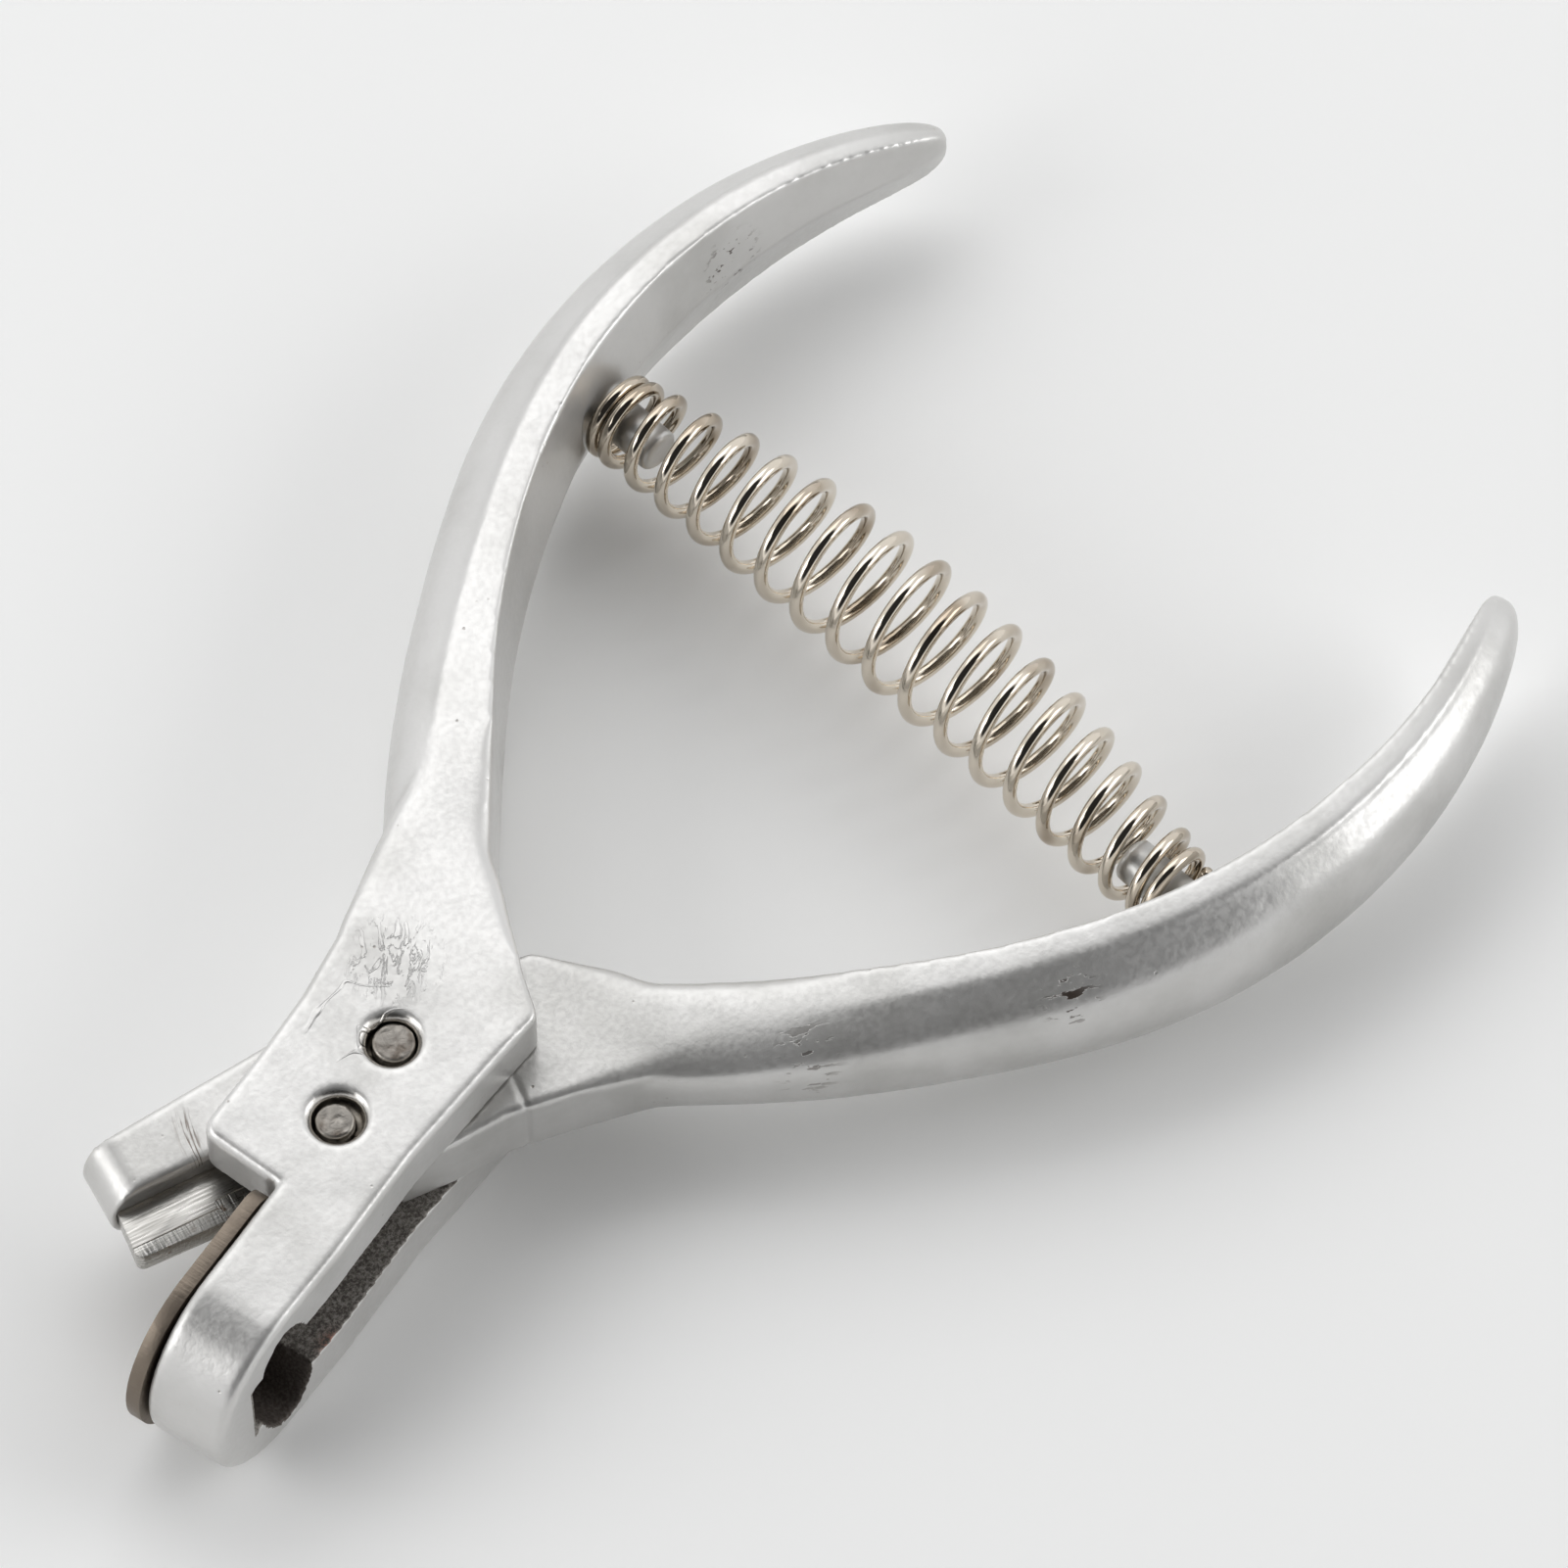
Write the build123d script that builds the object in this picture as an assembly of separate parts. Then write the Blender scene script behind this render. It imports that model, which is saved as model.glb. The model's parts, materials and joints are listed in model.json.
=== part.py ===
from build123d import *
import math
import os

# Hand-held slot punch pliers, in millimetres, lying on their side.
# Working frame: origin on the pivot axis at the underside, +X towards the grips,
# +Y towards the die lever's grip, +Z up through the thickness of the head.
# Every part is moved at the end, so that the origin is the middle of the underside.

# ---- head ----
HEAD_T = 22.0            # thickness of the die lever's head
CHEEK_CORNER = (-20.4, 6.2)      # front corner of the cheeks, over the punch jaw
CHEEK_CORNER_R = 1.8
HEAD_CORNER = (11.9, -8.1)       # lower corner of the head, by the punch lever's neck
HEAD_CORNER_R = 1.6
SLOT_T = 8.8             # height of the slot between the two cheeks
WEB_T = 8.4              # thickness of the punch lever's web and jaw
MID_Z = HEAD_T / 2
EDGE_R = 0.9             # rounding of the head's outer edges
WEB_EDGE_R = 0.7         # rounding of the punch lever's web and jaw

# ---- jaws, measured from the pivot along and across each jaw ----
DIE_JAW_DEG = 191.4      # direction of the die jaw
DIE_JAW_LEN = 42.6
DIE_JAW_FACE = 0.35      # height of the die jaw's face above the pivot axis
SLOT_END = 36.8          # where the slot stops, before the tip of the die jaw
BULB_AT = 31.6           # centre of the oval waste outlet
BULB_LONG = 4.3          # its half-length along the jaw
BULB_TALL = 8.5          # its half-height
BULB_DROP = 0.6          # how far it sits below the middle
PUNCH_JAW_DEG = 163.5    # direction of the punch jaw when open
PUNCH_JAW_LEN = 31.6
PUNCH_JAW_CORNER = (-33.0, 16.3)  # outer corner at the tip of the punch jaw
PUNCH_JAW_CORNER_R = 2.8

# ---- die plate ----
PLATE_T = 1.6
PLATE_GAP = 0.35
PLATE_H = 20.2
PLATE_LEN = 43.0
PLATE_HEEL = 20.0
TAIL_HEEL = 13.2
DIE_SLOT_W = 3.0         # height of the die slot
DIE_SLOT = (14.3, 32.6)  # from heel to tip

# ---- punch blade ----
BLADE_T = 2.6
BLADE_OUT = 5.5          # how far it stands out of the jaw
BLADE_IN = 3.6           # depth of its tang
BLADE_HEEL = 15.0
BLADE_TIP = 30.4
BLADE_LEAN = 0.9         # lean of the blade's front end
BLADE_TIP_R = 0.8
BLADE_RISE = 0.5         # the cutting edge reaches this much deeper at its heel
JAW_FACE = 0.22          # height of the punch jaw's face above the pivot axis
HUB_R = 7.4              # web round the pivot, clear of the stop pin

# ---- pins and rivets ----
PIVOT_R = 2.2
STOP_PIN_R = 2.0
STOP_PIN_AT = (-10.1, -2.2)
PIN_SUNK = 0.9           # how far the pin ends lie below the cheeks
PIN_CHAMFER = 0.35
FIT = 0.02               # radial clearance of a pin in the cheeks
RUN_FIT = 0.05           # radial running clearance of the web on the pivot
SINK_R = 2.55            # counterbore over each pin end
SINK_DEPTH = 2.2
SINK_RIM = 0.75          # chamfer round the counterbore
PIVOT_SINK_OFF = (-0.25, 0.0)
STOP_SINK_OFF = (0.2, -0.2)
BLADE_PIN_R = 1.25
BLADE_PIN_AT = 17.0      # along the punch jaw
RIVET_R = 1.25
RIVET_HEAD_R = 2.1
RIVET_HEAD_T = 0.8
RIVET_DEPTH = 6.0
RIVET_AT = 23.6          # along the die jaw
RIVET_Z = 7.6            # above and below the middle

# ---- grips ----
# Centre line of the die lever's grip; the punch lever's is its mirror image, moved by GRIP_SHIFT.
GRIP_LINE = [(16.0, 10.5), (22.6, 17.0), (28.6, 22.6), (35.0, 28.0), (41.8, 33.1), (48.9, 37.7),
             (56.0, 41.7), (64.0, 45.2), (72.0, 47.6), (81.0, 48.9), (89.3, 49.0), (97.1, 48.2),
             (104.7, 46.4), (111.9, 43.8), (118.4, 40.6)]
GRIP_SHIFT = 1.4
TAPER_DIE = (7.0, 25.0, 0.88)    # start and end of the taper into the die grip, and its drop a side
TAPER_PUNCH = (12.0, 34.0, 0.3)  # the same into the punch grip
# Fraction of the centre line, width, thickness of the die grip, thickness of the punch grip,
# inner corners as a fraction of the width, squareness of the back.
GRIP_STATIONS = [
    (0.000, 11.4, 20.4, 8.0, 0.46, 5.0), (0.070, 11.6, 20.6, 8.6, 0.46, 4.8),
    (0.150, 11.4, 20.2, 10.0, 0.43, 4.0), (0.240, 10.9, 18.6, 12.4, 0.38, 3.2),
    (0.340, 10.7, 17.4, 14.6, 0.33, 2.6), (0.450, 10.9, 17.0, 16.2, 0.30, 2.3),
    (0.560, 10.6, 17.0, 17.0, 0.30, 2.2), (0.660, 9.9, 16.6, 16.6, 0.30, 2.2),
    (0.760, 9.0, 15.4, 15.4, 0.30, 2.2), (0.850, 7.8, 13.2, 13.2, 0.30, 2.2),
    (0.920, 6.6, 10.6, 10.6, 0.31, 2.2), (0.965, 5.4, 8.2, 8.2, 0.33, 2.1),
    (0.990, 3.8, 5.6, 5.6, 0.35, 2.0), (1.000, 2.2, 3.2, 3.2, 0.36, 2.0),
]

# ---- spring and its bosses ----
SPRING_X = 70.4
BOSS_R = 2.4
BOSS_LEN = 7.5
SEAT_R = 5.2             # flat seat round each boss
WIRE_R = 0.73
SPRING_END_R = 4.1       # to the middle of the wire
SPRING_MID_R = 6.8
SPRING_OPEN = 8          # open turns in each half
SPRING_CLOSE = 1.5       # close turns at each end
CLOSE_PITCH = 1.6
SPRING_ENDS = (41.7, -40.3)


def unit(deg):
    a = math.radians(deg)
    return Vector(math.cos(a), math.sin(a), 0)


def along(deg, length, height):
    """Point at a length along a jaw and a height across it, towards the other jaw."""
    across = unit(deg - 90)
    at = unit(deg) * length + across * height
    return at.X, at.Y


def rounded(face, corner, radius):
    """Face with the corner of its outline at a place rounded."""
    nearest = face.vertices().sort_by_distance((corner[0], corner[1], 0))[0]
    return fillet(nearest, radius)


def jaw_plane(deg):
    """Sketch plane on a jaw: x along the jaw, y up, normal across the jaw."""
    return Plane(origin=(0, 0, MID_Z), x_dir=unit(deg), z_dir=unit(deg - 90))


def round_nose(deg, length, half):
    """Block that leaves a jaw with an end that is half round when seen from the side."""
    stadium = Pos(length - half - 60, 0) * Rectangle(120, 2 * half)
    stadium += Pos(length - half, 0) * Circle(half)
    return extrude(jaw_plane(deg) * stadium, 40, both=True)


def taper_block(thick, taper):
    """Block as thick as a lever at its head, and thinner towards the grip."""
    start, end, drop = taper
    half = thick / 2
    profile = Polyline(
        (-60, -half), (start, -half), (end, drop - half), (end, half - drop), (start, half), (-60, half),
        close=True,
    )
    plane = Plane(origin=(0, 0, MID_Z), x_dir=(1, 0, 0), z_dir=(0, -1, 0))
    return extrude(plane * make_face(profile), 60, both=True)


def grip_section(width, height, corner, square):
    """Grip cross-section: two drafted faces inside, and outside a back between round and square."""
    inner_x = -width * corner
    reach = width / 2 - inner_x
    back = []
    for step in range(-4, 5):
        a = math.radians(22.5 * step)
        x = inner_x + reach * math.cos(a) ** (2 / square)
        z = height / 2 * math.copysign(abs(math.sin(a)) ** (2 / square), a)
        back.append((x, z))
    curve = Spline(back, tangents=[(1, 0), (-1, 0)])
    front = Polyline(back[-1], (-width / 2 - 0.02, 0), back[0])
    return make_face(curve + front)


def grip(side, column):
    """Curved grip, lofted through its stations; side is 1 for the die lever, -1 for the punch lever."""
    shift = 0 if side > 0 else GRIP_SHIFT
    line = Spline([(x, side * y + shift) for x, y in GRIP_LINE])
    sections = []
    for station in GRIP_STATIONS:
        at = line @ station[0]
        run = line % station[0]
        outward = Vector(-run.Y, run.X, 0) * side
        plane = Plane(origin=(at.X, at.Y, MID_Z), x_dir=outward, z_dir=run * side)
        sections.append(plane * grip_section(station[1], station[column], station[4], station[5]))
    return loft(sections)


def grip_y(side):
    """Height of a grip's centre line where the spring stands."""
    shift = 0 if side > 0 else GRIP_SHIFT
    line = Spline([(x, side * y + shift) for x, y in GRIP_LINE])
    low, high = 0.0, 1.0
    for _ in range(40):
        middle = (low + high) / 2
        if (line @ middle).X < SPRING_X:
            low = middle
        else:
            high = middle
    return (line @ low).Y


def seat_spring(body, side):
    """Cut a flat seat for the spring inside a grip, and add the cast peg that holds its end."""
    root = grip_y(side)
    face = SPRING_ENDS[0] if side > 0 else SPRING_ENDS[1]
    tip = face - side * BOSS_LEN
    tip_plane = Plane(origin=(SPRING_X, tip, MID_Z), z_dir=(0, side, 0))
    seat = tip_plane * extrude(Circle(SEAT_R), BOSS_LEN)
    peg = tip_plane * extrude(Circle(BOSS_R), abs(root - tip))
    peg = chamfer(peg.faces().sort_by(Axis.Y)[0 if side > 0 else -1].edges(), 0.4)
    return body - seat + peg


def pin_hole(at, radius, sink_off):
    """Through hole for a pin, with an off-centre countersunk counterbore at both ends."""
    cut = Pos(at[0], at[1], MID_Z) * Cylinder(radius, HEAD_T + 2)
    x = at[0] + sink_off[0]
    y = at[1] + sink_off[1]
    for end in (1, -1):
        cut += Pos(x, y, MID_Z + end * (MID_Z - SINK_DEPTH / 2 + 0.5)) * Cylinder(SINK_R, SINK_DEPTH + 1)
        rim_z = MID_Z + end * (MID_Z - SINK_RIM / 2)
        low_r, high_r = (SINK_R, SINK_R + SINK_RIM) if end > 0 else (SINK_R + SINK_RIM, SINK_R)
        cut += Pos(x, y, rim_z) * Cone(low_r, high_r, SINK_RIM)
    return cut


def make_die_lever():
    """Fixed lever: two cheeks, forked lower jaw, spine and grip in one casting."""
    jaw_tip_in = along(DIE_JAW_DEG, DIE_JAW_LEN, DIE_JAW_FACE)
    notch = along(DIE_JAW_DEG, 19.4, DIE_JAW_FACE)
    outline = [
        CHEEK_CORNER, (-9.6, 8.4), (-3.0, 10.0), (4.0, 12.4), (10.6, 15.8), (16.6, 18.6), (23.0, 20.4),
        (26.2, 17.4), (23.4, 11.6), (20.0, 5.2), (16.6, 0.0), (14.4, -3.3), HEAD_CORNER,
        (-7.5, -10.6), (-20.0, -13.3), (-33.0, -15.6), (-41.0, -17.2),
        jaw_tip_in, notch,
    ]
    face = make_face(Polyline(outline, close=True))
    face = rounded(face, CHEEK_CORNER, CHEEK_CORNER_R)
    face = rounded(face, HEAD_CORNER, HEAD_CORNER_R)
    head = extrude(face, HEAD_T)
    head &= round_nose(DIE_JAW_DEG, DIE_JAW_LEN, HEAD_T / 2)
    rims = head.faces().sort_by(Axis.Z)[-1].edges() + head.faces().sort_by(Axis.Z)[0].edges()
    head = fillet(rims, EDGE_R)
    head &= taper_block(HEAD_T, TAPER_DIE)

    body = seat_spring(head + grip(1, 2), 1)

    front_low = along(DIE_JAW_DEG, SLOT_END, -25)
    front_high = along(DIE_JAW_DEG, SLOT_END, 25)
    reach = 20.3
    spine_end = unit(45) * reach
    crotch = unit(10) * reach
    slot_edge = Polyline(
        (crotch.X, crotch.Y), (40, -12), (40, -40), front_low, front_high,
        (-2.4, 26), (-2.4, 8.3), (3.0, 8.8), (9.0, 11.6), (spine_end.X, spine_end.Y),
    )
    slot_back = RadiusArc((spine_end.X, spine_end.Y), (crotch.X, crotch.Y), reach)
    slot = extrude(make_face(slot_edge + slot_back), SLOT_T)
    body -= Pos(0, 0, MID_Z - SLOT_T / 2) * slot

    oval = Pos(BULB_AT, -BULB_DROP) * Ellipse(BULB_LONG, BULB_TALL)
    body -= jaw_plane(DIE_JAW_DEG) * extrude(oval, 25, both=True)

    body -= pin_hole((0, 0), PIVOT_R + FIT, PIVOT_SINK_OFF)
    body -= pin_hole(STOP_PIN_AT, STOP_PIN_R + FIT, STOP_SINK_OFF)
    for end in (1, -1):
        foot = along(DIE_JAW_DEG, RIVET_AT, DIE_JAW_FACE - RIVET_DEPTH)
        plane = Plane(origin=(foot[0], foot[1], MID_Z + end * RIVET_Z), z_dir=unit(DIE_JAW_DEG - 90))
        body -= plane * extrude(Circle(RIVET_R), RIVET_DEPTH + 1)
    return body


def blade_solid():
    """Blade with its tang, before the hole for its pin; also the room for it in the punch jaw."""
    tip_out = along(PUNCH_JAW_DEG, BLADE_TIP + BLADE_LEAN, JAW_FACE - BLADE_OUT)
    outline = [
        along(PUNCH_JAW_DEG, BLADE_HEEL, BLADE_IN + JAW_FACE),
        along(PUNCH_JAW_DEG, BLADE_TIP, BLADE_IN + JAW_FACE),
        tip_out,
        along(PUNCH_JAW_DEG, BLADE_HEEL, JAW_FACE - BLADE_OUT - BLADE_RISE),
    ]
    face = rounded(make_face(Polyline(outline, close=True)), tip_out, BLADE_TIP_R)
    return Pos(0, 0, MID_Z - BLADE_T / 2) * extrude(face, BLADE_T)


def blade_pin_at():
    return along(PUNCH_JAW_DEG, BLADE_PIN_AT, JAW_FACE + BLADE_IN / 2)


def make_blade():
    """Hardened cutting blade, held by its tang in the punch jaw."""
    at = blade_pin_at()
    return blade_solid() - Pos(at[0], at[1], MID_Z) * Cylinder(BLADE_PIN_R, 40)


def make_punch_lever():
    """Moving lever: jaw, web on the pivot and grip in one casting."""
    tip_in = along(PUNCH_JAW_DEG, PUNCH_JAW_LEN, JAW_FACE)
    heel_in = along(PUNCH_JAW_DEG, HUB_R + 0.2, JAW_FACE)
    low_hub = unit(190) * HUB_R
    low_out = unit(222) * HUB_R
    web_edge = Polyline(
        (low_out.X, low_out.Y), (-7.3, -8.0), (-1.9, -9.9), (4.5, -11.4), (11.0, -14.4), (17.0, -17.9),
        (25.0, -21.0), (27.0, -14.6), (23.8, -7.0), (18.7, 0.2), (12.0, 3.3), (5.2, 5.3), (0.5, 7.4),
        (-3.2, 7.5), (-5.3, 10.9), (-26.6, 15.1), PUNCH_JAW_CORNER, tip_in, heel_in,
    )
    hub_side = ThreePointArc(heel_in, (low_hub.X, low_hub.Y), (low_out.X, low_out.Y))
    face = rounded(make_face(web_edge + hub_side), PUNCH_JAW_CORNER, PUNCH_JAW_CORNER_R)
    web = Pos(0, 0, MID_Z - WEB_T / 2) * extrude(face, WEB_T)
    rims = web.faces().sort_by(Axis.Z)[-1].edges() + web.faces().sort_by(Axis.Z)[0].edges()
    web = fillet(rims, WEB_EDGE_R)
    web &= round_nose(PUNCH_JAW_DEG, PUNCH_JAW_LEN, WEB_T / 2)
    web &= taper_block(WEB_T, TAPER_PUNCH)
    body = seat_spring(web + grip(-1, 3), -1)
    body -= Pos(0, 0, MID_Z) * Cylinder(PIVOT_R + RUN_FIT, 40)
    body -= blade_solid()
    at = blade_pin_at()
    return body - Pos(at[0], at[1], MID_Z) * Cylinder(BLADE_PIN_R, 40)


def make_cross_pin(at, radius):
    """Steel pin through both cheeks, with chamfered ends."""
    pin = Cylinder(radius, HEAD_T - 2 * PIN_SUNK)
    pin = chamfer(pin.faces().filter_by(GeomType.PLANE).edges(), PIN_CHAMFER)
    return Pos(at[0], at[1], MID_Z) * pin


def make_blade_pin():
    at = blade_pin_at()
    return Pos(at[0], at[1], MID_Z) * Cylinder(BLADE_PIN_R, WEB_T)


def make_die_plate():
    """Hardened plate over the die jaw: round nose, narrow tail between the cheeks, die slot."""
    half = PLATE_H / 2
    shape = Pos((PLATE_HEEL + PLATE_LEN - half) / 2, 0) * Rectangle(PLATE_LEN - half - PLATE_HEEL, PLATE_H)
    shape += Pos(PLATE_LEN - half, 0) * Circle(half)
    shape = fillet(shape.vertices().sort_by(Axis.X)[:2], 2.4)
    shape += Pos((TAIL_HEEL + PLATE_HEEL + 1) / 2, 0) * Rectangle(PLATE_HEEL + 1 - TAIL_HEEL, WEB_T)
    slot_mid = (DIE_SLOT[0] + DIE_SLOT[1]) / 2
    shape -= Pos(slot_mid, 0) * Rectangle(DIE_SLOT[1] - DIE_SLOT[0], DIE_SLOT_W)
    for end in (1, -1):
        shape -= Pos(RIVET_AT, end * RIVET_Z) * Circle(RIVET_R)
    base = unit(DIE_JAW_DEG - 90) * (DIE_JAW_FACE + PLATE_GAP)
    plane = Plane(origin=(base.X, base.Y, MID_Z), x_dir=unit(DIE_JAW_DEG), z_dir=unit(DIE_JAW_DEG - 90))
    plate = plane * extrude(shape, PLATE_T)
    for end in (1, -1):
        plate -= rivet(end)
    return plate


def rivet(end):
    """Countersunk rivet that holds the die plate to one side wall of the die jaw."""
    top = DIE_JAW_FACE + PLATE_GAP + PLATE_T
    at = along(DIE_JAW_DEG, RIVET_AT, top)
    plane = Plane(origin=(at[0], at[1], MID_Z + end * RIVET_Z), z_dir=unit(DIE_JAW_DEG + 90))
    head = Pos(0, 0, RIVET_HEAD_T / 2) * Cone(RIVET_HEAD_R, RIVET_R, RIVET_HEAD_T)
    length = PLATE_T + PLATE_GAP + RIVET_DEPTH
    shank = Pos(0, 0, length / 2) * Cylinder(RIVET_R, length)
    return plane * (head + shank)


def wind(pitch, turns, radius, cone_deg):
    """One stretch of right-hand spring wire, and the point where it ends."""
    helix = Helix(pitch=pitch, height=pitch * turns, radius=radius, cone_angle=cone_deg)
    section = Plane(origin=helix @ 0, z_dir=helix % 0) * Circle(WIRE_R)
    return sweep(section, path=helix, is_frenet=True), helix @ 1


def make_spring():
    """Barrel-shaped, left-hand compression spring: close turns at the ends, widening to the middle."""
    low, high = SPRING_ENDS[1] + WIRE_R, SPRING_ENDS[0] - WIRE_R
    half = (high - low) / 2
    close_h = SPRING_CLOSE * CLOSE_PITCH
    open_h = half - close_h
    cone_deg = math.degrees(math.atan((SPRING_MID_R - SPRING_END_R) / open_h))
    close_turns, close_end = wind(CLOSE_PITCH, SPRING_CLOSE, SPRING_END_R, 0)
    open_turns, open_end = wind(open_h / SPRING_OPEN, SPRING_OPEN, SPRING_END_R, cone_deg)
    turn_on = math.degrees(math.atan2(close_end.Y, close_end.X))
    spring_half = close_turns + Pos(0, 0, close_h) * Rot(0, 0, turn_on) * open_turns
    joint = math.degrees(math.atan2(open_end.Y, open_end.X)) + turn_on
    fold = Axis((0, 0, half), (math.cos(math.radians(joint)), math.sin(math.radians(joint)), 0))
    spring = spring_half + spring_half.rotate(fold, 180)
    left_hand = mirror(spring, about=Plane.YZ)
    return Pos(SPRING_X, low, MID_Z) * Rot(-90, 0, 0) * left_hand


parts = {
    "die_lever": make_die_lever(),
    "punch_lever": make_punch_lever(),
    "punch_blade": make_blade(),
    "blade_retaining_pin": make_blade_pin(),
    "die_plate": make_die_plate(),
    "die_plate_rivet_upper": rivet(1),
    "die_plate_rivet_lower": rivet(-1),
    "pivot_pin": make_cross_pin((0, 0), PIVOT_R),
    "stop_pin": make_cross_pin(STOP_PIN_AT, STOP_PIN_R),
    "return_spring": make_spring(),
}

# Move everything, so that the origin is the middle of the underside.
boxes = [shape.bounding_box() for shape in parts.values()]
mid_x = (min(b.min.X for b in boxes) + max(b.max.X for b in boxes)) / 2
mid_y = (min(b.min.Y for b in boxes) + max(b.max.Y for b in boxes)) / 2
os.makedirs("parts", exist_ok=True)
for name, shape in parts.items():
    export_step(Pos(-mid_x, -mid_y, 0) * shape, f"parts/{name}.step")
print("pivot at", round(-mid_x, 3), round(-mid_y, 3))
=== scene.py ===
import json
import math

import bmesh
import bpy
import numpy as np
from bpy.props import FloatProperty, FloatVectorProperty, IntProperty, PointerProperty
from bpy.types import Operator, Panel, PropertyGroup
from mathutils import Matrix, Vector, noise

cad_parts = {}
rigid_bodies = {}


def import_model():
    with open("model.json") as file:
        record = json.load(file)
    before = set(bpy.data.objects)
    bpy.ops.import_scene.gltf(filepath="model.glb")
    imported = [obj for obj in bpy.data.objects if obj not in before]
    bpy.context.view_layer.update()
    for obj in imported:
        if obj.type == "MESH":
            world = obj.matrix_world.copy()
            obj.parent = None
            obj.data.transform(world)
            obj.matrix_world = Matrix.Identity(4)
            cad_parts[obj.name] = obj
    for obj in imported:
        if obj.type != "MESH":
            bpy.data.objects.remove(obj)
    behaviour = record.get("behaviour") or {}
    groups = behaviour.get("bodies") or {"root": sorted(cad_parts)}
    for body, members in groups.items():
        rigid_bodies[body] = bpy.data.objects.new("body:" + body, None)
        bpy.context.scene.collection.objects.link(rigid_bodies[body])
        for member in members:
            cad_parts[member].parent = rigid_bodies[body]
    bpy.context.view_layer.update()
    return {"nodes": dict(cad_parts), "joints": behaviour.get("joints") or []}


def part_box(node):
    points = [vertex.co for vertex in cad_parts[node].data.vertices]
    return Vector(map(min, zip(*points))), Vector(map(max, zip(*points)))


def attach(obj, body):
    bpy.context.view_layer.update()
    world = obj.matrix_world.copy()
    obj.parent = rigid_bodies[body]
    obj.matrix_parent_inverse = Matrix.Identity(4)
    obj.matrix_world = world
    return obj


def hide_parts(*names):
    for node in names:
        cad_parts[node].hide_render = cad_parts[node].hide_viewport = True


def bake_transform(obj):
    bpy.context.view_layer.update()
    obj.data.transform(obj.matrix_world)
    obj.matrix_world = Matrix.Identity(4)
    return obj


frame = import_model()

bl_info = {
    "name": "Slot Punch Pliers",
    "version": (1, 0, 0),
    "blender": (4, 5, 0),
    "location": "3D View > Sidebar > Slot Punch",
    "description": "Builds hand-held slot punch pliers round their packed frame, piece by piece",
    "category": "Add Mesh",
}

MM = 0.001
JOINT = frame["joints"][0]
PIVOT = Vector(JOINT["pos_m"])
DIE_BODY = JOINT["parent"]
PUNCH_BODY = JOINT["child"]
DIE_JAW_DEG = 191.4          # direction of the die jaw from the pivot
PUNCH_JAW_DEG = 163.5        # direction of the punch jaw with the tool open

# Places on the castings, in millimetres from the pivot.
SLOT_HALF = 4.56             # half the height of the slot between the cheeks
SLOT_RUN = 37.2              # where the slot ends along the die jaw
SPINE_R = 20.8               # where it ends at the spine
OUTLET_RUN = 31.6            # middle of the waste outlet along the die jaw
OUTLET_LONG = 4.55           # its half-length
OUTLET_TALL = 8.75           # its half-height
OUTLET_DROP = 0.6            # how far it sits below the middle
PIVOT_BORE_R = 2.36          # bores in the cheeks, with the grid's rounding
STOP_BORE_R = 2.16
PUNCH_BORE_R = 2.4           # bore in the punch lever's web
PIVOT_SINK = (-0.25, 0.0)    # middle of each counterbore, from its pin's axis
STOP_SINK = (0.2, -0.2)
SINK_R = 3.25                # outer radius of the counterbores' bright ring
DIE_ROOT = ((20, 12), 5.4, 14.4)    # where the head runs into the grip: middle, full and no smoothing
PUNCH_ROOT = ((27, -15), 6, 16)
RUST_SPOT = (-22.4, -14.4, -4.5)
RUST_PATCH = (-14.2, -12.6, 4.5)
RUST_SPREAD = 1.6            # square millimetres
NECK_SEAM = ((7.7, -8.7), (5.9, -13.0))
SEAM_WIDTH = 0.28
FLOW_MARKS = (6.1, 6.3, 11)
CURLED_LINES = (-1.2, 4.4, 11)
FLAKES = ((52.6, -41.5, 5, 4.0), (30.7, -26.8, 2, 5.0), (91.0, 44.8, 2, 5.0))   # each with its reach

SKIN_WAVE = 5.0 * MM         # size of the waves in a casting's skin
RIM_SHIFT = 0.16 * MM        # how far softening pulls a full edge in
HOLLOW_SHIFT = 0.12 * MM     # how far it fills a full inner corner


# ---------------------------------------------------------------- settings

def length(name, description, default):
    """A size in metres that a user may change."""
    return FloatProperty(name=name, description=description, default=default, unit="LENGTH", precision=6)


def colour(name, description, default):
    """A colour that a user may change, given as sRGB hex and kept as linear."""
    return FloatVectorProperty(
        name=name, description=description, default=linear(default), subtype="COLOR", size=3, min=0, max=1
    )


def linear(hex_colour):
    """sRGB hex value to linear red, green and blue."""
    made = []
    for start in (1, 3, 5):
        value = int(hex_colour[start:start + 2], 16) / 255
        made.append(value / 12.92 if value <= 0.04045 else ((value + 0.055) / 1.055) ** 2.4)
    return tuple(made)


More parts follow.
